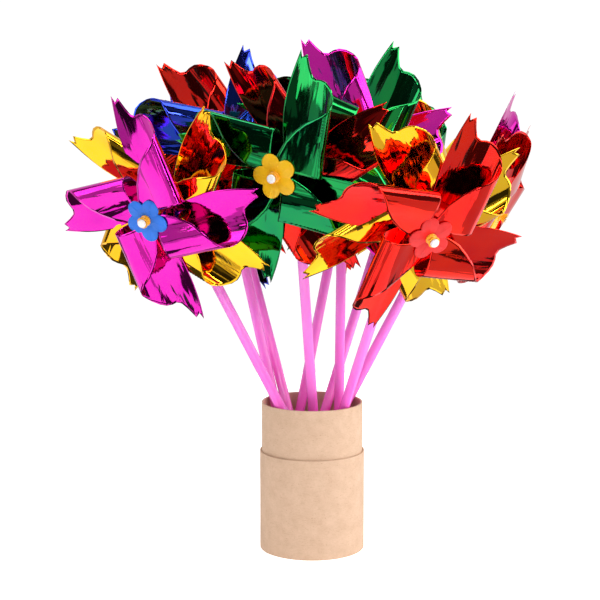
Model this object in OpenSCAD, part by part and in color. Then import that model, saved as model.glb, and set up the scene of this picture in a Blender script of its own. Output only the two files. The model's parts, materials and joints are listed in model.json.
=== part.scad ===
// Foil pinwheels standing in a kraft paper tube, in millimetres, with +Z up.
// The frame origin is the centre of the tube's flat underside.

/* [Node] */
// which sub-part to draw, or "all"

/* [Tube] */
// outside diameter of the lower sleeve
sleeve_d = 68; // [60:0.1:80]
// height of the lower sleeve
sleeve_h = 65; // [50:1:80]
// outside diameter of the neck, which is glued inside the sleeve
neck_d = 65.6; // [56:0.1:78]
// height of the neck's rim above the table
tube_h = 97; // [80:1:120]
// thickness of the neck's rolled paper wall
neck_wall = 1.3; // [1:0.1:3]
// thickness of the base disc
base_t = 2; // [1:0.1:4]

/* [Stick] */
// outside diameter of the hollow plastic stick
stick_d = 6.4; // [5:0.1:8]
// wall of the hollow stick
stick_wall = 0.7; // [0.4:0.1:1.5]
// distance up the stick from its foot to the axle pin
hub_up = 256; // [240:1:280]
// length of stick beyond the axle pin
stick_over = 9; // [6:1:20]
// clearance between a stick's foot and the base disc
foot_gap = 0.3; // [0.1:0.1:2]

/* [Hub] */
// diameter of the axle pin
pin_d = 2; // [1.5:0.1:3]
// running clearance between pin and spool, on the radius
run_gap = 0.07; // [0.02:0.01:0.1]
// outside diameter of the spool's tube
spool_d = 4.6; // [3.5:0.1:6]
// distance from the stick's axis to the spool's rear end
spool_back = 3.7; // [3.5:0.1:5]
// diameter of the spool's rear washer and front collar
collar_d = 7.6; // [6:0.1:10]

/* [Foil] */
// radius from the axle to the blade tips
tip_r = 75; // [60:1:85]
// radius of the round part of the foil's flat outline
lobe_r = 66; // [55:1:75]
// outside radius of the curl
curl_r = 6.2; // [5:0.1:10]
// foil thickness
foil_t = 0.25; // [0.1:0.05:0.5]
// width of the flat part of a blade, from its slit to the curl
flat_w = 22; // [18:0.5:26]
// radius of the uncut middle
uncut_r = 9; // [6:0.5:12]
// distance from the stick's axis to the back foil
foil_back = 4.8; // [4.4:0.1:6]
// gap between the back foil's flaps and the front foil
stack_gap = 0.4; // [0.3:0.1:1]

/* [Flower] */
// radius to the middle of each petal
petal_at = 8.6; // [6:0.1:12]
// petal radius
petal_r = 5.6; // [4:0.1:8]
// flower thickness
flower_t = 0.9; // [0.5:0.1:2]

/* [Hidden] */
$fn = 64;
// where each pinwheel stands: foot azimuth and radius on the base disc, azimuth and radius where
// its stick passes the rim, the azimuth that its flower faces, and the wheel's turn at rest
layout = [
  [350, 26,   222, 27.5, 236, 39],
  [ 40,  9,   272, 13.5, 246, 33],
  [100, 26,   318, 27.5, 296, 38],
  [ 15, 17,    14, 18,   275, 22],
  [150, 26.5,  26, 27.5, 346, 10],
  [288, 26.5, 147, 21,   128, 30],
  [180,  4,   155, 27.5, 277, 22],
  [220, 25.5,  60, 24,   322, 15],
  [172, 25,   102, 27.5, 121, 25]
];
foot_z = base_t + foot_gap + stick_d / 4;
back_z = foil_back;
front_z = back_z + 2 * curl_r + stack_gap;
flower_z = front_z + 2 * curl_r + stack_gap;
spool_front = flower_z + flower_t + 4.2;

function unit(v) = v / norm(v);
function ring(a, r, z) = [r * cos(a), r * sin(a), z];
function foot(i) = ring(layout[i][0], layout[i][1], foot_z);
function stick_dir(i) = unit(ring(layout[i][2], layout[i][3], tube_h) - foot(i));
function face_dir(i) = let (d = stick_dir(i), n = ring(layout[i][4], 1, 0)) unit(n - d * (n * d));

// distance along the flat foil from the axle to the corner that folds back onto it
fold_len = 2 * flat_w + PI * (curl_r - foil_t / 2);
function reach(s) = sqrt(lobe_r * lobe_r - s * s);

// the slit edges stand this far from the blade's own centre line
slit = 0.25;

// puts a pinwheel's own frame at its axle: X across, Y up the stick, Z out to the flower
module at_hub(i) {
  d = stick_dir(i);
  n = face_dir(i);
  x = cross(d, n);
  h = foot(i) + d * hub_up;
  multmatrix([
    [x[0], d[0], n[0], h[0]],
    [x[1], d[1], n[1], h[1]],
    [x[2], d[2], n[2], h[2]],
    [0, 0, 0, 1]
  ]) children();
}

module stick(i) {
  at_hub(i)
    difference() {
      translate([0, -hub_up, 0])
        rotate([-90, 0, 0])
          difference() {
            cylinder(d = stick_d, h = hub_up + stick_over);
            translate([0, 0, -1])
              cylinder(d = stick_d - 2 * stick_wall, h = hub_up + stick_over + 2);
          }
      translate([0, 0, -stick_d])
        cylinder(d = pin_d, h = 2 * stick_d);
    }
}

module axle_pin(i) {
  at_hub(i) {
    translate([0, 0, -stick_d / 2 - 1.4])
      cylinder(d = 2.3 * pin_d, h = 1.4);
    translate([0, 0, -stick_d / 2 - 0.7])
      cylinder(d = pin_d, h = spool_front + 0.6 + stick_d / 2 + 0.7);
    translate([0, 0, spool_front + 0.3])
      cylinder(d = 2.7 * pin_d, h = 0.9);
    translate([0, 0, spool_front + 1.2])
      cylinder(d1 = 2.7 * pin_d, d2 = 1.5 * pin_d, h = 0.9);
  }
}

module spool(i) {
  r0 = pin_d / 2 + run_gap;
  r1 = spool_d / 2;
  r2 = collar_d / 2;
  c = flower_z + flower_t;
  at_hub(i)
    rotate_extrude()
      polygon([
        [r0, spool_back], [r2, spool_back], [r2, foil_back], [r1, foil_back],
        [r1, c], [r2 - 0.4, c], [r2 - 0.4, c + 1.1], [r1, c + 1.1],
        [r1, spool_front - 1.8], [r2 - 0.2, spool_front], [r0, spool_front]
      ]);
}

module flower(i) {
  at_hub(i)
    translate([0, 0, flower_z])
      rotate([0, 0, layout[i][5]])
        linear_extrude(flower_t)
          difference() {
            union() {
              circle(r = petal_at - 1.5);
              for (k = [0 : 4])
                rotate([0, 0, 72 * k])
                  translate([petal_at, 0])
                    circle(r = petal_r);
            }
            circle(d = spool_d);
          }
}

// one blade with its slit edge along X: a flat plate with a toothed tip, a half-turn curl and
// the flap that comes back over the axle
module blade() {
  p1 = reach(flat_w);
  p2 = reach(flat_w + PI * curl_r);
  top = 2 * curl_r - foil_t;
  linear_extrude(foil_t)
    polygon([
      [slit, -slit], [tip_r, -slit], [tip_r - 4.4, -2.4], [tip_r - 2.4, -6],
      [p1 + 1.6, -17], [p1, -flat_w], [slit, -flat_w]
    ]);
  intersection() {
    translate([0, -flat_w, curl_r])
      rotate([0, 90, 0])
        linear_extrude(tip_r)
          difference() {
            circle(r = curl_r);
            circle(r = curl_r - foil_t);
            translate([-2 * curl_r, 0])
              square([4 * curl_r, 2 * curl_r]);
          }
    translate([0, -flat_w + 1, 0])
      rotate([90, 0, 0])
        linear_extrude(2 * curl_r + 2)
          polygon([
            [slit, -1], [p1, -1], [p1, 0], [p1 + 0.6, curl_r * 0.7],
            [p2, 2 * curl_r], [p2, 2 * curl_r + 1], [slit, 2 * curl_r + 1]
          ]);
  }
  translate([0, 0, top])
    linear_extrude(foil_t)
      polygon([
        [slit, -flat_w], [p2, -flat_w],
        for (y = [-flat_w + 4 : 4 : -2]) [reach(fold_len + y), y],
        [reach(fold_len - slit), -slit], [slit, -slit]
      ]);
}

module foil(i, z, turn) {
  at_hub(i)
    translate([0, 0, z])
      rotate([0, 0, layout[i][5] + turn])
        difference() {
          union() {
            for (k = [0 : 3])
              rotate([0, 0, 90 * k])
                blade();
            cylinder(r = uncut_r, h = foil_t);
            translate([0, 0, 2 * curl_r - foil_t])
              cylinder(r = uncut_r - 2, h = foil_t);
          }
          translate([0, 0, -1])
            cylinder(d = spool_d, h = 2 * curl_r + 2);
        }
}

module tube_sleeve() {
  color([0.87, 0.72, 0.58])
    difference() {
      cylinder(d = sleeve_d, h = sleeve_h);
      translate([0, 0, -1])
        cylinder(d = neck_d, h = sleeve_h + 2);
    }
}

module tube_neck() {
  color([0.88, 0.74, 0.61])
    difference() {
      cylinder(d = neck_d, h = tube_h);
      translate([0, 0, -1])
        cylinder(d = neck_d - 2 * neck_wall, h = tube_h + 2);
    }
}

module tube_base() {
  color([0.80, 0.64, 0.50])
    cylinder(d = neck_d - 2 * neck_wall, h = base_t);
}

module stick_01() {
  color([0.93, 0.42, 0.78])
    stick(0);
}
module axle_pin_01() {
  color([0.95, 0.95, 0.93])
    axle_pin(0);
}
module spool_01() {
  color([0.96, 0.66, 0.12])
    spool(0);
}
module back_foil_01() {
  color([0.95, 0.72, 0.05])
    foil(0, back_z, 0);
}
module front_foil_01() {
  color([0.85, 0.05, 0.55])
    foil(0, front_z, 45);
}
module flower_01() {
  color([0.05, 0.12, 0.70])
    flower(0);
}
module stick_02() {
  color([0.93, 0.42, 0.78])
    stick(1);
}
module axle_pin_02() {
  color([0.95, 0.95, 0.93])
    axle_pin(1);
}
module spool_02() {
  color([0.96, 0.66, 0.12])
    spool(1);
}
module back_foil_02() {
  color([0.80, 0.03, 0.05])
    foil(1, back_z, 0);
}
module front_foil_02() {
  color([0.02, 0.42, 0.10])
    foil(1, front_z, 45);
}
module flower_02() {
  color([0.95, 0.72, 0.05])
    flower(1);
}
module stick_03() {
  color([0.93, 0.42, 0.78])
    stick(2);
}
module axle_pin_03() {
  color([0.95, 0.95, 0.93])
    axle_pin(2);
}
module spool_03() {
  color([0.96, 0.66, 0.12])
    spool(2);
}
module back_foil_03() {
  color([0.95, 0.72, 0.05])
    foil(2, back_z, 0);
}
module front_foil_03() {
  color([0.80, 0.03, 0.05])
    foil(2, front_z, 45);
}
module flower_03() {
  color([0.80, 0.03, 0.05])
    flower(2);
}
module stick_04() {
  color([0.93, 0.42, 0.78])
    stick(3);
}
module axle_pin_04() {
  color([0.95, 0.95, 0.93])
    axle_pin(3);
}
module spool_04() {
  color([0.96, 0.66, 0.12])
    spool(3);
}
module back_foil_04() {
  color([0.85, 0.05, 0.55])
    foil(3, back_z, 0);
}
module front_foil_04() {
  color([0.02, 0.42, 0.10])
    foil(3, front_z, 45);
}
module flower_04() {
  color([0.95, 0.72, 0.05])
    flower(3);
}
module stick_05() {
  color([0.93, 0.42, 0.78])
    stick(4);
}
module axle_pin_05() {
  color([0.95, 0.95, 0.93])
    axle_pin(4);
}
module spool_05() {
  color([0.96, 0.66, 0.12])
    spool(4);
}
module back_foil_05() {
  color([0.85, 0.05, 0.55])
    foil(4, back_z, 0);
}
module front_foil_05() {
  color([0.80, 0.03, 0.05])
    foil(4, front_z, 45);
}
module flower_05() {
  color([0.95, 0.72, 0.05])
    flower(4);
}
module stick_06() {
  color([0.93, 0.42, 0.78])
    stick(5);
}
module axle_pin_06() {
  color([0.95, 0.95, 0.93])
    axle_pin(5);
}
module spool_06() {
  color([0.96, 0.66, 0.12])
    spool(5);
}
module back_foil_06() {
  color([0.95, 0.72, 0.05])
    foil(5, back_z, 0);
}
module front_foil_06() {
  color([0.05, 0.12, 0.70])
    foil(5, front_z, 45);
}
module flower_06() {
  color([0.80, 0.03, 0.05])
    flower(5);
}
module stick_07() {
  color([0.93, 0.42, 0.78])
    stick(6);
}
module axle_pin_07() {
  color([0.95, 0.95, 0.93])
    axle_pin(6);
}
module spool_07() {
  color([0.96, 0.66, 0.12])
    spool(6);
}
module back_foil_07() {
  color([0.80, 0.03, 0.05])
    foil(6, back_z, 0);
}
module front_foil_07() {
  color([0.05, 0.12, 0.70])
    foil(6, front_z, 45);
}
module flower_07() {
  color([0.95, 0.72, 0.05])
    flower(6);
}
module stick_08() {
  color([0.93, 0.42, 0.78])
    stick(7);
}
module axle_pin_08() {
  color([0.95, 0.95, 0.93])
    axle_pin(7);
}
module spool_08() {
  color([0.96, 0.66, 0.12])
    spool(7);
}
module back_foil_08() {
  color([0.02, 0.42, 0.10])
    foil(7, back_z, 0);
}
module front_foil_08() {
  color([0.95, 0.72, 0.05])
    foil(7, front_z, 45);
}
module flower_08() {
  color([0.05, 0.12, 0.70])
    flower(7);
}
module stick_09() {
  color([0.93, 0.42, 0.78])
    stick(8);
}
module axle_pin_09() {
  color([0.95, 0.95, 0.93])
    axle_pin(8);
}
module spool_09() {
  color([0.96, 0.66, 0.12])
    spool(8);
}
module back_foil_09() {
  color([0.02, 0.42, 0.10])
    foil(8, back_z, 0);
}
module front_foil_09() {
  color([0.80, 0.03, 0.05])
    foil(8, front_z, 45);
}
module flower_09() {
  color([0.85, 0.05, 0.55])
    flower(8);
}

tube_sleeve();
tube_neck();
tube_base();
stick_01();
axle_pin_01();
spool_01();
back_foil_01();
front_foil_01();
flower_01();
stick_02();
axle_pin_02();
spool_02();
back_foil_02();
front_foil_02();
flower_02();
stick_03();
axle_pin_03();
spool_03();
back_foil_03();
front_foil_03();
flower_03();
stick_04();
axle_pin_04();
spool_04();
back_foil_04();
front_foil_04();
flower_04();
stick_05();
axle_pin_05();
spool_05();
back_foil_05();
front_foil_05();
flower_05();
stick_06();
axle_pin_06();
spool_06();
back_foil_06();
front_foil_06();
flower_06();
stick_07();
axle_pin_07();
spool_07();
back_foil_07();
front_foil_07();
flower_07();
stick_08();
axle_pin_08();
spool_08();
back_foil_08();
front_foil_08();
flower_08();
stick_09();
axle_pin_09();
spool_09();
back_foil_09();
front_foil_09();
flower_09();
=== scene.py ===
"""Visual model of the pinwheel set: foil wheels on straw sticks, standing in a kraft paper tube."""
import bisect
import json
import math
import random

import bpy
from mathutils import Matrix, Vector, noise

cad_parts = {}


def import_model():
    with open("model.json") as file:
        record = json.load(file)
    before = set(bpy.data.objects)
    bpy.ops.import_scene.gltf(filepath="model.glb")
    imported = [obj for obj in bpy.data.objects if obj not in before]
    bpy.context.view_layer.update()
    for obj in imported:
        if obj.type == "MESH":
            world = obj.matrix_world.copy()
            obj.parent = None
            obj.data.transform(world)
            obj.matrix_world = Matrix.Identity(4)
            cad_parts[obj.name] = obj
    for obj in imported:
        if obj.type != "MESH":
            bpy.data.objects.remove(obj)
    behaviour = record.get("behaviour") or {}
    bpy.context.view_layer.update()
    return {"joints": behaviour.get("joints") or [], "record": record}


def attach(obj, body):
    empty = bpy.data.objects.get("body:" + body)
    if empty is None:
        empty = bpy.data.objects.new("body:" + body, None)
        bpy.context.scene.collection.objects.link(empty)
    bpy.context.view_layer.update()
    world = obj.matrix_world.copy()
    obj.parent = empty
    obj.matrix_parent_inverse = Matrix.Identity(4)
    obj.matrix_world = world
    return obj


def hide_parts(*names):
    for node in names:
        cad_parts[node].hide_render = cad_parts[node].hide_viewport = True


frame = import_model()

MM = 0.001
COUNT = 9

# sizes shared with the CAD model, in millimetres
SLEEVE_R, SLEEVE_H = 34.0, 65.0
NECK_R, TUBE_H, NECK_WALL = 32.8, 97.0, 1.3
BASE_T = 2.0
STICK_R, STICK_WALL = 3.2, 0.7
HUB_UP, STICK_OVER = 256.0, 9.0
PIN_R = 1.0
SPOOL_R, COLLAR_R, BORE_R = 2.3, 3.8, 1.07
SPOOL_BACK, SPOOL_FRONT = 3.7, 35.5
BACK_Z, FRONT_Z, FLOWER_Z, FLOWER_T = 4.8, 17.6, 30.4, 0.9
PETALS, PETAL_AT, PETAL_R = 5, 8.6, 5.6
BLADES = 4
# the hole in a foil or a flower where the spool goes through
HOLE_R = 2.35
FOLD_LEN = 63.1
FOIL_TOP = 12.15
# how far each wheel is turned on its pin at rest, in degrees
TURNS = [39, 33, 38, 22, 10, 30, 22, 15, 25]

# a blade's outline on the flat sheet, as (along the slit edge, across): two teeth at the tip, the notch,
# the round lobe, and the corner that folds back to the hub
RIM = [
    (75.0, 0.0), (70.6, 2.5), (73.0, 5.2), (66.4, 9.2), (61.2, 12.8), (59.6, 16.0),
    (60.2, 19.0), (59.8, 22.6), (57.4, 26.6), (53.2, 30.6), (48.0, 34.4), (43.0, 39.0),
    (38.4, 44.6), (34.0, 50.4), (28.0, 56.0), (20.0, 61.0), (10.0, 64.6), (0.0, 66.0),
]
# how far the cut between two blades bows out from a straight line, and where the cut starts
SLIT_BOW, SLIT_FROM = 5.0, 9.0
# film thickness, and half the gap between two blades
FILM_T, SLIT_GAP = 0.14, 0.12
# wheels that stand close behind a neighbour, so their curls stay low
CLOSE_BEHIND = {2}


# the camera in metres, millimetres of lens and degrees below level, worked out from how the photograph
# shows the tube's edges and mouth
CAMERA_PLACE = (-0.0079, -1.010, 0.305)
CAMERA_LENS, CAMERA_SENSOR = 94.8, 36.0
CAMERA_DOWN = 7.98
FLOOR_R = 0.62

# ---------------------------------------------------------------- frames

JOINTS = {j["name"]: j for j in frame["joints"]}
SLOTS = {s["node"]: s["material_slot"] for s in frame["record"]["subparts"]}


def wheel_frame(k):
    """The pinwheel's own frame at its axle: X across, Y up the stick, Z out to the flower."""
    spin = JOINTS[f"spin_{k:02d}"]
    up = Vector(JOINTS[f"lift_{k:02d}"]["axis"]).normalized()
    out = Vector(spin["axis"]).normalized()
    side = up.cross(out).normalized()
    m = Matrix((side, up, out)).transposed().to_4x4()
    m.translation = Vector(spin["pos_m"])
    return m


# ---------------------------------------------------------------- node helpers

class Nodes:
    """A short way to build a node tree."""

    def __init__(self, tree):
        self.tree = tree
        tree.nodes.clear()

    def add(self, kind, **values):
        n = self.tree.nodes.new(kind)
        for key, value in values.items():
            if key in n.inputs:
                n.inputs[key].default_value = value
            else:
                setattr(n, key, value)
        return n

    def link(self, a, out, b, into):
        self.tree.links.new(a.outputs[out], b.inputs[into])


def material(name):
    m = bpy.data.materials.new(name)
    m.use_nodes = True
    n = Nodes(m.node_tree)
    out = n.add("ShaderNodeOutputMaterial")
    bsdf = n.add("ShaderNodeBsdfPrincipled")
    n.link(bsdf, "BSDF", out, "Surface")
    return m, n, bsdf


def ramp(n, stops):
    r = n.add("ShaderNodeValToRGB")
    els = r.color_ramp.elements
    while len(els) < len(stops):
        els.new(0.5)
    for el, (pos, col) in zip(els, stops):
        el.position = pos
        el.color = (*col, 1.0)
    return r


def mapped(n, coord, scale):
    tc = n.add("ShaderNodeTexCoord")
    mp = n.add("ShaderNodeMapping")
    mp.inputs["Scale"].default_value = scale
    n.link(tc, coord, mp, "Vector")
    return mp


def noise_tex(n, source, scale, detail=4.0, rough=0.55, distort=0.0):
    t = n.add("ShaderNodeTexNoise", Scale=scale, Detail=detail, Roughness=rough, Distortion=distort)
    n.link(source, "Vector", t, "Vector")
    return t


def bump(n, bsdf, height, out, strength, distance, below=None):
    b = n.add("ShaderNodeBump", Strength=strength, Distance=distance)
    n.link(height, out, b, "Height")
    if below is not None:
        n.link(below, "Normal", b, "Normal")
    n.link(b, "Normal", bsdf, "Normal")


# ---------------------------------------------------------------- materials

FOIL_RGB = {
    "magenta": ((0.86, 0.02, 0.46), (0.62, 0.01, 0.40)),
    "red": ((0.92, 0.024, 0.006), (0.72, 0.008, 0.012)),
    "gold": ((1.00, 0.60, 0.02), (0.95, 0.42, 0.01)),
    "green": ((0.010, 0.34, 0.060), (0.006, 0.22, 0.075)),
    "blue": ((0.020, 0.10, 0.74), (0.035, 0.04, 0.52)),
}


def foil_material(slot):
    """Metallised film: mirror-like, with crease lines and soft ripples that run out along the blade."""
    light, deep = FOIL_RGB[slot.split("_")[1]]
    m, n, bsdf = material(slot)
    bsdf.inputs["Metallic"].default_value = 1.0
    bsdf.inputs["Coat Weight"].default_value = 0.22
    bsdf.inputs["Coat Roughness"].default_value = 0.04
    along = mapped(n, "UV", (14.0, 95.0, 1.0))
    ripple = noise_tex(n, along, 1.0, detail=2.5, distort=0.5)
    fine = mapped(n, "UV", (60.0, 420.0, 1.0))
    scuff = noise_tex(n, fine, 1.0, detail=3.0)
    tint = noise_tex(n, mapped(n, "UV", (22.0, 34.0, 1.0)), 1.0, detail=2.0)
    col = ramp(n, [(0.32, deep), (0.68, light)])
    n.link(tint, "Fac", col, "Fac")
    n.link(col, "Color", bsdf, "Base Color")
    rough = n.add("ShaderNodeMapRange")
    for key, value in (("From Min", 0.3), ("From Max", 0.75), ("To Min", 0.03), ("To Max", 0.10)):
        rough.inputs[key].default_value = value
    n.link(scuff, "Fac", rough, "Value")
    n.link(rough, "Result", bsdf, "Roughness")
    low = n.add("ShaderNodeBump", Strength=0.4, Distance=0.0011)
    n.link(ripple, "Fac", low, "Height")
    crease = n.add("ShaderNodeTexVoronoi", Scale=1.0)
    crease.feature = "DISTANCE_TO_EDGE"
    n.link(mapped(n, "UV", (26.0, 90.0, 1.0)), "Vector", crease, "Vector")
    edge = n.add("ShaderNodeMapRange")
    edge.inputs["From Max"].default_value = 0.10
    n.link(crease, "Distance", edge, "Value")
    bump(n, bsdf, edge, "Result", 0.16, 0.0002, below=low)
    return m


def flower_material(slot, rgb):
    m, n, bsdf = material(slot)
    bsdf.inputs["Roughness"].default_value = 0.38
    bsdf.inputs["Specular IOR Level"].default_value = 0.3
    bsdf.inputs["Coat Weight"].default_value = 0.1
    bsdf.inputs["Coat Roughness"].default_value = 0.18
    bsdf.inputs["Subsurface Weight"].default_value = 0.12
    bsdf.inputs["Subsurface Radius"].default_value = (0.002, 0.001, 0.001)
    src = mapped(n, "Object", (1.0, 1.0, 1.0))
    cloud = noise_tex(n, src, 130.0, detail=3.0)
    col = ramp(n, [(0.3, tuple(c * 0.82 for c in rgb)), (0.7, rgb)])
    n.link(cloud, "Fac", col, "Fac")
    n.link(col, "Color", bsdf, "Base Color")
    grain = noise_tex(n, src, 2600.0, detail=2.0)
    bump(n, bsdf, grain, "Fac", 0.15, 0.0001)
    return m


FLOWER_RGB = {
    "blue": (0.022, 0.19, 0.80),
    "yellow": (0.98, 0.56, 0.008),
    "red": (0.78, 0.02, 0.02),
    "magenta": (0.84, 0.03, 0.46),
}


def straw_material():
    """Glossy pink straw: milky plastic with faint flow lines along it; painted shade makes it darker and
    deeper pink low down by the tube's mouth, and painted light makes it lighter higher up.
    """
    m, n, bsdf = material("stick_pink")
    bsdf.inputs["Roughness"].default_value = 0.26
    bsdf.inputs["Subsurface Weight"].default_value = 0.55
    bsdf.inputs["Subsurface Radius"].default_value = (0.004, 0.002, 0.003)
    bsdf.inputs["Coat Weight"].default_value = 0.5
    bsdf.inputs["Coat Roughness"].default_value = 0.12
    tc = n.add("ShaderNodeTexCoord")
    sep = n.add("ShaderNodeSeparateXYZ")
    n.link(tc, "Object", sep, "Vector")
    # painted shade and light: the base colour runs from a darker, deeper pink 70 mm up to a lighter pink 150
    # mm up, standing in for the tube's shade below and the light on the tops
    height = n.add("ShaderNodeMapRange")
    height.inputs["From Min"].default_value = 0.070
    height.inputs["From Max"].default_value = 0.150
    n.link(sep, "Z", height, "Value")
    col = ramp(n, [(0.0, (0.94, 0.085, 0.56)), (1.0, (1.0, 0.235, 0.78))])
    n.link(height, "Result", col, "Fac")
    n.link(col, "Color", bsdf, "Base Color")
    lines = noise_tex(n, mapped(n, "UV", (420.0, 9.0, 1.0)), 1.0, detail=3.0)
    bump(n, bsdf, lines, "Fac", 0.25, 0.0002)
    return m


def moulded_material(name, rgb, deep, rough):
    m, n, bsdf = material(name)
    bsdf.inputs["Coat Weight"].default_value = 0.4
    bsdf.inputs["Coat Roughness"].default_value = 0.08
    bsdf.inputs["Subsurface Weight"].default_value = 0.2
    bsdf.inputs["Subsurface Radius"].default_value = (0.002, 0.0012, 0.0006)
    src = mapped(n, "Object", (1.0, 1.0, 1.0))
    cloud = noise_tex(n, src, 260.0, detail=3.0)
    col = ramp(n, [(0.3, deep), (0.7, rgb)])
    n.link(cloud, "Fac", col, "Fac")
    n.link(col, "Color", bsdf, "Base Color")
    gloss = n.add("ShaderNodeMapRange")
    gloss.inputs["To Min"].default_value = rough * 0.7
    gloss.inputs["To Max"].default_value = rough * 1.4
    n.link(cloud, "Fac", gloss, "Value")
    n.link(gloss, "Result", bsdf, "Roughness")
    grain = noise_tex(n, src, 3000.0, detail=2.0)
    bump(n, bsdf, grain, "Fac", 0.1, 0.0001)
    return m


def kraft_material(name, light, mid, dark):
    """Kraft board: mottled pulp, short fibres lying mostly round the tube, and dark flecks."""
    m, n, bsdf = material(name)
    bsdf.inputs["Roughness"].default_value = 0.82
    bsdf.inputs["Specular IOR Level"].default_value = 0.25
    src = mapped(n, "UV", (1.0, 1.0, 1.0))
    pulp = noise_tex(n, src, 130.0, detail=6.0, rough=0.62)
    base = ramp(n, [(0.30, mid), (0.70, light)])
    n.link(pulp, "Fac", base, "Fac")
    fibre = noise_tex(n, mapped(n, "UV", (520.0, 1900.0, 1.0)), 1.0, detail=3.0, distort=1.2)
    threads = ramp(n, [(0.50, (0.0, 0.0, 0.0)), (0.72, (1.0, 1.0, 1.0))])
    n.link(fibre, "Fac", threads, "Fac")
    mix = n.add("ShaderNodeMix", data_type="RGBA", blend_type="MULTIPLY")
    mix.inputs[7].default_value = (*[low / max(high, 1e-3) for low, high in zip(dark, mid)], 1.0)
    soft = n.add("ShaderNodeMath", operation="MULTIPLY")
    soft.inputs[1].default_value = 0.42
    n.link(threads, "Color", soft, 0)
    n.link(soft, "Value", mix, 0)
    n.tree.links.new(base.outputs["Color"], mix.inputs[6])
    fleck = noise_tex(n, src, 950.0, detail=1.0)
    spots = ramp(n, [(0.70, (1.0, 1.0, 1.0)), (0.78, (0.62, 0.52, 0.44))])
    n.link(fleck, "Fac", spots, "Fac")
    out = n.add("ShaderNodeMix", data_type="RGBA", blend_type="MULTIPLY")
    out.inputs[0].default_value = 0.8
    n.tree.links.new(mix.outputs[2], out.inputs[6])
    n.link(spots, "Color", out, 7)
    n.tree.links.new(out.outputs[2], bsdf.inputs["Base Color"])
    tooth = noise_tex(n, src, 620.0, detail=5.0, rough=0.7)
    low = n.add("ShaderNodeBump", Strength=0.35, Distance=0.00025)
    n.link(tooth, "Fac", low, "Height")
    bump(n, bsdf, fibre, "Fac", 0.3, 0.00015, below=low)
    return m


MATERIALS = {
    "kraft_board": kraft_material(
        "kraft_board", light=(0.64, 0.445, 0.315), mid=(0.56, 0.375, 0.255), dark=(0.40, 0.25, 0.155)),
    "kraft_base": kraft_material(
        "kraft_base", light=(0.56, 0.39, 0.27), mid=(0.49, 0.33, 0.22), dark=(0.34, 0.21, 0.13)),
    "stick_pink": straw_material(),
    "pin_white": moulded_material("pin_white", (0.93, 0.92, 0.88), (0.86, 0.84, 0.79), 0.2),
    "spool_yellow": moulded_material("spool_yellow", (1.0, 0.50, 0.035), (0.93, 0.40, 0.02), 0.24),
}
for colour in FOIL_RGB:
    MATERIALS["foil_" + colour] = foil_material("foil_" + colour)
for colour, rgb in FLOWER_RGB.items():
    MATERIALS["flower_" + colour] = flower_material("flower_" + colour, rgb)


# ---------------------------------------------------------------- mesh helpers

def piece(name, body, node, verts, faces, uvs=None, place=None, sharp=40.0):
    """Makes one visible piece from points in millimetres, in place of its CAD node."""
    me = bpy.data.meshes.new(name)
    me.from_pydata([Vector(v) * MM for v in verts], [], faces)
    if uvs is not None:
        layer = me.uv_layers.new(name="sheet")
        for loop in me.loops:
            layer.data[loop.index].uv = uvs[loop.vertex_index]
    if place is not None:
        me.transform(place)
    me.polygons.foreach_set("use_smooth", [True] * len(me.polygons))
    me.set_sharp_from_angle(angle=math.radians(sharp))
    me.materials.append(MATERIALS[SLOTS[node]])
    me.update()
    ob = bpy.data.objects.new(name, me)
    bpy.context.scene.collection.objects.link(ob)
    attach(ob, body)
    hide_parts(node)
    return ob


def rounded(points, radius, steps=3):
    """A closed outline with each corner turned into a small arc."""
    out = []
    n = len(points)
    for i in range(n):
        a, b, c = (Vector(points[j % n]) for j in (i - 1, i, i + 1))
        r = min(radius, (a - b).length * 0.45, (c - b).length * 0.45)
        start = b + (a - b).normalized() * r
        end = b + (c - b).normalized() * r
        for k in range(steps + 1):
            t = k / steps
            out.append(start * (1 - t) ** 2 + b * 2 * t * (1 - t) + end * t ** 2)
    return out


def lathe(profile, segments, wobble=None):
    """Turns a closed (radius, height) outline round Z: points in millimetres, faces, and UVs in metres."""
    verts, uvs = [], []
    n = len(profile)
    run = [0.0]
    for a, b in zip(profile, profile[1:]):
        run.append(run[-1] + (Vector(b) - Vector(a)).length)
    for s in range(segments):
        a = 2 * math.pi * s / segments
        for i, (r, z) in enumerate(profile):
            dr = wobble(a, r, z) if wobble else 0.0
            verts.append(((r + dr) * math.cos(a), (r + dr) * math.sin(a), z))
            uvs.append((abs(a - math.pi) * max(r, 1.0) * MM, (z if abs(z) > 1e-6 else run[i]) * MM))
    return verts, ring_faces(segments, n), uvs


def ring_faces(segments, n):
    """Faces of a closed ring of closed sections, each of n points."""
    faces = []
    for s in range(segments):
        t = (s + 1) % segments
        for i in range(n):
            j = (i + 1) % n
            faces.append((s * n + i, t * n + i, t * n + j, s * n + j))
    return faces


def strip_faces(cols, rows):
    """Faces of a grid whose points are stored column by column, rows to a column."""
    return [(c * rows + r, (c + 1) * rows + r, (c + 1) * rows + r + 1, c * rows + r + 1)
            for c in range(cols - 1) for r in range(rows - 1)]


# ---------------------------------------------------------------- foil

# the section of a curled blade, as four smooth curves of (across from the slit, height above the flat part)
SECTION = [
    ((0.0, 0.0), (6.0, 0.0), (12.0, 0.5), (17.5, 2.0)),
    ((17.5, 2.0), (23.5, 3.7), (28.2, 6.2), (28.2, 9.8)),
    ((28.2, 9.8), (28.2, 14.0), (23.0, 17.4), (16.0, 15.9)),
    ((16.0, 15.9), (11.0, 14.8), (9.0, 12.15), (0.0, 12.15)),
]


def section_table(steps=40):
    """Points along the section with the length of film used up to each."""
    points = [Vector(SECTION[0][0])]
    for a, b, c, d in ([Vector(v) for v in curve] for curve in SECTION):
        for i in range(1, steps + 1):
            t = i / steps
            u = 1 - t
            points.append(a * u ** 3 + b * 3 * t * u * u + c * 3 * t * t * u + d * t ** 3)
    run = [0.0]
    for a, b in zip(points, points[1:]):
        run.append(run[-1] + (b - a).length)
    return points, [r * FOLD_LEN / run[-1] for r in run]


SECTION_POINTS, SECTION_RUN = section_table()


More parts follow.
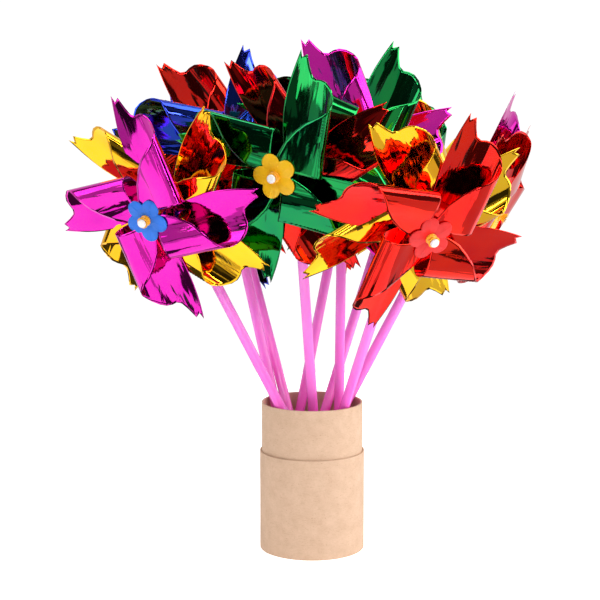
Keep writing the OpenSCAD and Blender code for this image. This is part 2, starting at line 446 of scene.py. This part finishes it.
def along_section(s):
    """The place across and above for the point s along the sheet; straight on past both ends."""
    if s <= 0:
        return s, 0.0
    if s >= FOLD_LEN:
        return FOLD_LEN - s, FOIL_TOP
    i = bisect.bisect_right(SECTION_RUN, s) - 1
    f = (s - SECTION_RUN[i]) / (SECTION_RUN[i + 1] - SECTION_RUN[i])
    here = SECTION_POINTS[i].lerp(SECTION_POINTS[i + 1], f)
    return here.x, here.y


RIM_ANGLES = [math.atan2(s, p) for p, s in RIM]


def rim_radius(angle):
    """How far the sheet reaches from its middle at this angle from the slit edge."""
    i = min(max(bisect.bisect_right(RIM_ANGLES, angle) - 1, 0), len(RIM) - 2)
    (ax, ay), (bx, by) = RIM[i], RIM[i + 1]
    ex, ey = bx - ax, by - ay
    return (ax * ey - ay * ex) / (math.cos(angle) * ey - math.sin(angle) * ex)


def sheet_point(p, s, high, rise):
    """The bent place of the flat sheet's point p along the slit edge and s across it."""
    y, z = along_section(s)
    return p, -y, min(z, FOIL_TOP) + max(z - FOIL_TOP, 0.0) * high + rise


def foil(name, k, node, base_z, turn, seed):
    """One sheet with four slit, curled and folded blades, and the disc where the corners meet."""
    rng = random.Random(seed)
    front = base_z == FRONT_Z
    angles = [RIM_ANGLES[0]]
    for a, b in zip(RIM_ANGLES, RIM_ANGLES[1:]):
        parts = max(2, round(math.degrees(b - a) / 1.9))
        angles += [a + (b - a) * i / parts for i in range(1, parts + 1)]
    rows = 36
    verts, faces, uvs = [], [], []
    for blade in range(BLADES):
        puff = rng.uniform(0.55, 1.0) * (1.0 if front else 0.5)
        if k in CLOSE_BEHIND:
            puff *= 0.15
        tip_bend = rng.uniform(-0.4, 0.6) if front else rng.uniform(-0.2, 0.4)
        bow = rng.uniform(0.8, 2.6) if front else rng.uniform(-0.6, 0.8)
        twist = rng.uniform(0.8, 2.6) if front else rng.uniform(0.0, 0.5)
        shift = Vector((rng.uniform(0, 50), rng.uniform(0, 50), seed * 7.0))
        turned = math.radians(turn + 90 * blade)
        cos_t, sin_t = math.cos(turned), math.sin(turned)
        first = len(verts)
        for a in angles:
            reach = rim_radius(a)
            for j in range(rows):
                rho = HOLE_R + (reach - HOLE_R) * j / (rows - 1)
                cut = SLIT_BOW * math.sin(math.pi * min(max((rho - SLIT_FROM) / 66, 0.0), 1.0)) / rho
                gap = SLIT_GAP if rho > SLIT_FROM else 0.0
                p = rho * math.cos(a - cut)
                s = rho * math.sin(a - cut)
                if a == angles[0]:
                    s += gap
                if a == angles[-1]:
                    p += gap
                out = min(max((rho - 12) / 50, 0.0), 1.0)
                flat = max(0.0, 1 - max(s, 0.0) / 26)
                rise = tip_bend * out * out * flat
                rise += bow * math.sin(math.pi * min(max(p, 0.0) / 72, 1.0)) * flat
                rise -= twist * out * flat * flat
                inner = min(max((rho - 7) / 10, 0.0), 1.0)
                rise += inner * 0.38 * noise.noise(Vector((p / 34, s / 10, 0)) + shift)
                rise += inner * 0.09 * noise.noise(Vector((p / 14, s / 4, 5)) + shift)
                x, y, z = sheet_point(p, s, puff, rise)
                verts.append((x * cos_t - y * sin_t, x * sin_t + y * cos_t, z + base_z))
                uvs.append(((p + 80 * blade) * MM, (s + 13 * seed) * MM))
        faces += [tuple(first + i for i in f) for f in strip_faces(len(angles), rows)]
    first = len(verts)
    ring = 40
    for i in range(ring):
        a = 2 * math.pi * i / ring
        for r in (HOLE_R, 4.6, 7.2):
            verts.append((r * math.cos(a), r * math.sin(a), base_z + FOIL_TOP + 0.1))
            uvs.append((r * math.cos(a) * MM, r * math.sin(a) * MM))
    for i in range(ring):
        j = (i + 1) % ring
        for r in range(2):
            faces.append((first + i * 3 + r, first + i * 3 + r + 1, first + j * 3 + r + 1, first + j * 3 + r))
    ob = piece(name, f"wheel_{k:02d}", node, verts, faces, uvs, place=wheel_frame(k), sharp=60)
    thick = ob.modifiers.new("film", "SOLIDIFY")
    thick.thickness = FILM_T * MM
    thick.offset = 0.0
    return ob


# ---------------------------------------------------------------- flower, spool, pin

def petal_radius(angle):
    """The five-petalled outline, with its inward corners softened."""
    pitch = 2 * math.pi / PETALS
    off = (angle + pitch / 2) % pitch - pitch / 2
    r = PETAL_AT * math.cos(off) + math.sqrt(max(PETAL_R ** 2 - (PETAL_AT * math.sin(off)) ** 2, 0.0))
    return max(r, 9.9)


def flower(k):
    """The flower cap: petals a little domed, a raised vein on each and a rolled edge."""
    node = f"flower_{k:02d}"
    segments = 160
    turn = math.radians(TURNS[k - 1])
    verts, uvs = [], []
    for i in range(segments):
        a = 2 * math.pi * i / segments
        edge = petal_radius(a)
        near = round(a / (2 * math.pi / PETALS)) * 2 * math.pi / PETALS
        cx, cy = PETAL_AT * math.cos(near), PETAL_AT * math.sin(near)
        rows = [(HOLE_R, 0.0), (edge - 0.45, 0.0), (edge - 0.12, 0.13), (edge, 0.45), (edge - 0.12, 0.78)]
        top = [edge - 0.45 - (edge - 0.45 - 3.9) * t / 8 for t in range(9)]
        for r in top:
            away = math.hypot(r * math.cos(a) - cx, r * math.sin(a) - cy) / PETAL_R
            dome = 0.55 * max(0.0, 1 - away * away)
            across = abs(r * math.sin(a - near))
            vein = 0.16 * max(0.0, 1 - across / 0.7) * min(max((r - 5) / 2, 0.0), 1.0)
            rows.append((r, FLOWER_T + dome + vein))
        rows += [(3.4, 0.88), (HOLE_R, 0.88)]
        for r, z in rows:
            b = a + turn
            verts.append((r * math.cos(b), r * math.sin(b), FLOWER_Z + z))
            uvs.append((r * math.cos(b) * MM, r * math.sin(b) * MM))
    n = len(rows)
    faces = ring_faces(segments, n)
    return piece(f"flower_cap_{k:02d}", f"wheel_{k:02d}", node, verts, faces, uvs, place=wheel_frame(k))


def spool(k):
    """The moulded spool: washer behind, collar over the flower and a flared mouth."""
    cap = FLOWER_Z + FLOWER_T
    outline = [
        (BORE_R, SPOOL_BACK), (COLLAR_R, SPOOL_BACK), (COLLAR_R, BACK_Z), (SPOOL_R, BACK_Z),
        (SPOOL_R, cap), (3.4, cap), (3.4, cap + 1.0), (SPOOL_R, cap + 1.25),
        (SPOOL_R + 0.05, SPOOL_FRONT - 2.1), (2.75, SPOOL_FRONT - 1.1), (3.5, SPOOL_FRONT - 0.35),
        (3.55, SPOOL_FRONT), (2.6, SPOOL_FRONT - 0.1), (1.7, SPOOL_FRONT - 0.7),
        (BORE_R, SPOOL_FRONT - 1.3),
    ]
    v, f, u = lathe([tuple(p) for p in rounded(outline, 0.18)], 48)
    return piece(f"spool_hub_{k:02d}", f"wheel_{k:02d}", f"spool_{k:02d}", v, f, u, place=wheel_frame(k))


def pin(k):
    """The headed pin: a flat head behind the stick and a domed one in front of the spool."""
    outline = [(0.02, -4.6), (2.3, -4.6), (2.3, -3.25), (PIN_R, -3.2), (PIN_R, 35.8), (2.7, 35.8),
               (2.72, 36.5), (2.45, 37.05), (1.9, 37.4), (1.1, 37.58), (0.02, 37.6)]
    v, f, u = lathe([tuple(p) for p in rounded(outline, 0.16)], 40)
    return piece(f"pin_{k:02d}", f"pinwheel_{k:02d}", f"axle_pin_{k:02d}", v, f, u, place=wheel_frame(k))


# ---------------------------------------------------------------- straws

def straw(k):
    """A hollow straw, very slightly bowed and flattened a touch where the pin pinches it."""
    rng = random.Random(100 + k)
    bow_x, bow_z = rng.uniform(-0.22, 0.22), rng.uniform(-0.22, 0.22)
    rings, segments = 60, 28
    length = HUB_UP + STICK_OVER
    verts, uvs = [], []
    for outside in (True, False):
        r0 = STICK_R if outside else STICK_R - STICK_WALL
        for i in range(rings + 1):
            t = i / rings
            y = -HUB_UP + length * (t if outside else 1 - t)
            tt = (y + HUB_UP) / length
            bend = math.sin(math.pi * tt)
            pinch = 1 - 0.03 * math.exp(-((y / 6.0) ** 2))
            soft = 0.12 if outside and i in (0, rings) else 0.0
            for s in range(segments):
                a = 2 * math.pi * s / segments
                r = r0 - soft
                verts.append((r * math.cos(a) + bow_x * bend, y, r * math.sin(a) * pinch + bow_z * bend))
                uvs.append((abs(a - math.pi) * STICK_R * MM, y * MM))
    n = 2 * (rings + 1)
    faces = []
    for i in range(n):
        j = (i + 1) % n
        for s in range(segments):
            t = (s + 1) % segments
            faces.append((i * segments + s, j * segments + s, j * segments + t, i * segments + t))
    return piece(f"straw_{k:02d}", f"pinwheel_{k:02d}", f"stick_{k:02d}", verts, faces, uvs,
                 place=wheel_frame(k))


# ---------------------------------------------------------------- kraft tube

# only faces further out than this show the paper's overlapping end, and paper stands out no more than this
LAP_FROM_R, MOST_OUT = 31.9, 0.25


def paper_wobble(seed, amount, seam_at):
    """Slight unevenness of a rolled tube, and the step of the paper's overlapping end."""
    def wobble(a, r, z):
        w = amount * noise.noise(Vector((math.cos(a) * 1.4, math.sin(a) * 1.4, z / 40 + seed)))
        lap = ((a - seam_at) % (2 * math.pi)) * r
        if r > LAP_FROM_R:
            w += 0.16 * math.exp(-lap / 9.0) if lap > 0.4 else 0.0
        return min(w, MOST_OUT)
    return wobble


def kraft_tube():
    inner = NECK_R - NECK_WALL
    sleeve = [(NECK_R + 0.02, 0.0), (SLEEVE_R, 0.0), (SLEEVE_R, SLEEVE_H), (NECK_R + 0.02, SLEEVE_H)]
    outline = fine_sides([tuple(p) for p in rounded(sleeve, 0.3)])
    v, f, u = lathe(outline, 220, wobble=paper_wobble(1.0, 0.10, 3.6))
    piece("kraft_sleeve", "tube", "tube_sleeve", v, f, u, sharp=50)
    neck = [(inner, 0.3), (NECK_R, 0.3), (NECK_R, TUBE_H), (inner, TUBE_H)]
    outline = fine_sides([tuple(p) for p in rounded(neck, 0.38)])
    v, f, u = lathe(outline, 220, wobble=paper_wobble(4.0, 0.05, 2.2))
    piece("kraft_neck", "tube", "tube_neck", v, f, u, sharp=50)
    base = [(0.02, 0.25), (inner - 0.1, 0.25), (inner - 0.1, BASE_T), (0.02, BASE_T)]
    v, f, u = lathe([tuple(p) for p in rounded(base, 0.3)], 120)
    piece("kraft_base", "tube", "tube_base", v, f, u)


def fine_sides(outline, step=4.0):
    """Adds points along the long sides of a closed outline."""
    out = []
    for a, b in zip(outline, outline[1:] + outline[:1]):
        a, b = Vector(a), Vector(b)
        parts = max(1, int((b - a).length / step))
        out += [tuple(a.lerp(b, i / parts)) for i in range(parts)]
    return out


# ---------------------------------------------------------------- build

kraft_tube()
for k in range(1, COUNT + 1):
    straw(k)
    pin(k)
    spool(k)
    foil(f"film_back_{k:02d}", k, f"back_foil_{k:02d}", BACK_Z, TURNS[k - 1], 2 * k)
    foil(f"film_front_{k:02d}", k, f"front_foil_{k:02d}", FRONT_Z, TURNS[k - 1] + 45, 2 * k + 1)
    flower(k)


# ---------------------------------------------------------------- floor, world, lights, camera

def floor(sides=64):
    """A pale disc, white to the camera and patchy in the film's reflections of it."""
    me = bpy.data.meshes.new("floor")
    angles = [math.tau * i / sides for i in range(sides)]
    rim = [(FLOOR_R * math.cos(a), FLOOR_R * math.sin(a), 0) for a in angles]
    me.from_pydata(rim, [], [tuple(range(sides))])
    m = bpy.data.materials.new("floor_white")
    m.use_nodes = True
    n = Nodes(m.node_tree)
    out = n.add("ShaderNodeOutputMaterial")
    lit = n.add("ShaderNodeBsdfDiffuse", Color=(0.9, 0.9, 0.9, 1))
    glow = n.add("ShaderNodeEmission", Color=(1, 1, 1, 1), Strength=0.62)
    seen = n.add("ShaderNodeAddShader")
    n.tree.links.new(lit.outputs[0], seen.inputs[0])
    n.tree.links.new(glow.outputs[0], seen.inputs[1])
    cells = n.add("ShaderNodeTexVoronoi", Scale=1.0)
    n.link(mapped(n, "Object", (7.0, 5.0, 1.0)), "Vector", cells, "Vector")
    patch = ramp(n, [(0.34, (0.05, 0.05, 0.05)), (0.36, (0.70, 0.70, 0.70)), (0.58, (0.70, 0.70, 0.70)),
                     (0.60, (1.50, 1.50, 1.50))])
    n.link(cells, "Color", patch, "Fac")
    mirrored = n.add("ShaderNodeEmission", Strength=1.0)
    n.link(patch, "Color", mirrored, "Color")
    path = n.add("ShaderNodeLightPath")
    both = n.add("ShaderNodeMixShader")
    n.link(path, "Is Glossy Ray", both, "Fac")
    n.tree.links.new(seen.outputs[0], both.inputs[1])
    n.tree.links.new(mirrored.outputs[0], both.inputs[2])
    n.tree.links.new(both.outputs[0], out.inputs["Surface"])
    me.materials.append(m)
    ob = bpy.data.objects.new("floor", me)
    bpy.context.scene.collection.objects.link(ob)


def world():
    """White for the camera; for reflections and light, a pale sweep behind and a darker room in front."""
    w = bpy.data.worlds.new("studio")
    bpy.context.scene.world = w
    w.use_nodes = True
    n = Nodes(w.node_tree)
    out = n.add("ShaderNodeOutputWorld")
    tc = n.add("ShaderNodeTexCoord")
    sep = n.add("ShaderNodeSeparateXYZ")
    n.link(tc, "Generated", sep, "Vector")
    depth = n.add("ShaderNodeMapRange")
    depth.inputs["From Min"].default_value = 0.05
    depth.inputs["From Max"].default_value = 0.30
    n.link(sep, "Y", depth, "Value")
    cells = n.add("ShaderNodeTexVoronoi", Scale=3.2)
    n.link(tc, "Generated", cells, "Vector")
    things = ramp(n, [(0.45, (0.02, 0.02, 0.024)), (0.50, (0.10, 0.10, 0.10)), (0.72, (0.14, 0.14, 0.14)),
                      (0.76, (0.55, 0.55, 0.55))])
    n.link(cells, "Color", things, "Fac")
    shade = n.add("ShaderNodeMix", data_type="RGBA")
    shade.inputs[7].default_value = (0.80, 0.80, 0.80, 1.0)
    n.link(depth, "Result", shade, 0)
    n.tree.links.new(things.outputs["Color"], shade.inputs[6])
    room = n.add("ShaderNodeBackground", Strength=1.0)
    n.tree.links.new(shade.outputs[2], room.inputs["Color"])
    white = n.add("ShaderNodeBackground", Color=(1, 1, 1, 1), Strength=1.05)
    path = n.add("ShaderNodeLightPath")
    mix = n.add("ShaderNodeMixShader")
    n.link(path, "Is Camera Ray", mix, "Fac")
    n.tree.links.new(room.outputs[0], mix.inputs[1])
    n.tree.links.new(white.outputs[0], mix.inputs[2])
    n.tree.links.new(mix.outputs[0], out.inputs["Surface"])


def softbox(name, place, target, size, power):
    """An area light of the given width and height, in metres and watts, turned to its target."""
    light = bpy.data.lights.new(name, "AREA")
    light.shape = "RECTANGLE"
    light.size, light.size_y = size
    light.energy = power
    ob = bpy.data.objects.new(name, light)
    ob.location = place
    ob.rotation_euler = (Vector(target) - Vector(place)).to_track_quat("-Z", "Y").to_euler()
    bpy.context.scene.collection.objects.link(ob)


def camera():
    cam = bpy.data.cameras.new("camera")
    cam.lens = CAMERA_LENS
    cam.sensor_width = CAMERA_SENSOR
    cam.clip_start = 0.05
    ob = bpy.data.objects.new("camera", cam)
    ob.location = CAMERA_PLACE
    ob.rotation_euler = (math.radians(90 - CAMERA_DOWN), 0, 0)
    bpy.context.scene.collection.objects.link(ob)
    bpy.context.scene.camera = ob


camera()
floor()
world()
MIDDLE = (0.0, 0.0, 0.20)
softbox("key_right", (1.15, -0.90, 0.85), MIDDLE, (1.2, 1.2), 15)
softbox("side_right", (1.40, 0.05, 0.42), MIDDLE, (0.9, 0.9), 8)
softbox("fill_left", (-1.30, -0.50, 0.50), MIDDLE, (0.7, 1.1), 5)
softbox("top", (0.0, -0.25, 1.50), MIDDLE, (1.2, 0.8), 9)
softbox("strip_front", (-0.35, -1.35, 0.95), MIDDLE, (0.9, 0.14), 4)
softbox("strip_low", (0.45, -1.25, 0.02), MIDDLE, (0.10, 0.6), 1.5)

bpy.context.scene.view_settings.view_transform = "Standard"
bpy.context.scene.view_settings.look = "None"
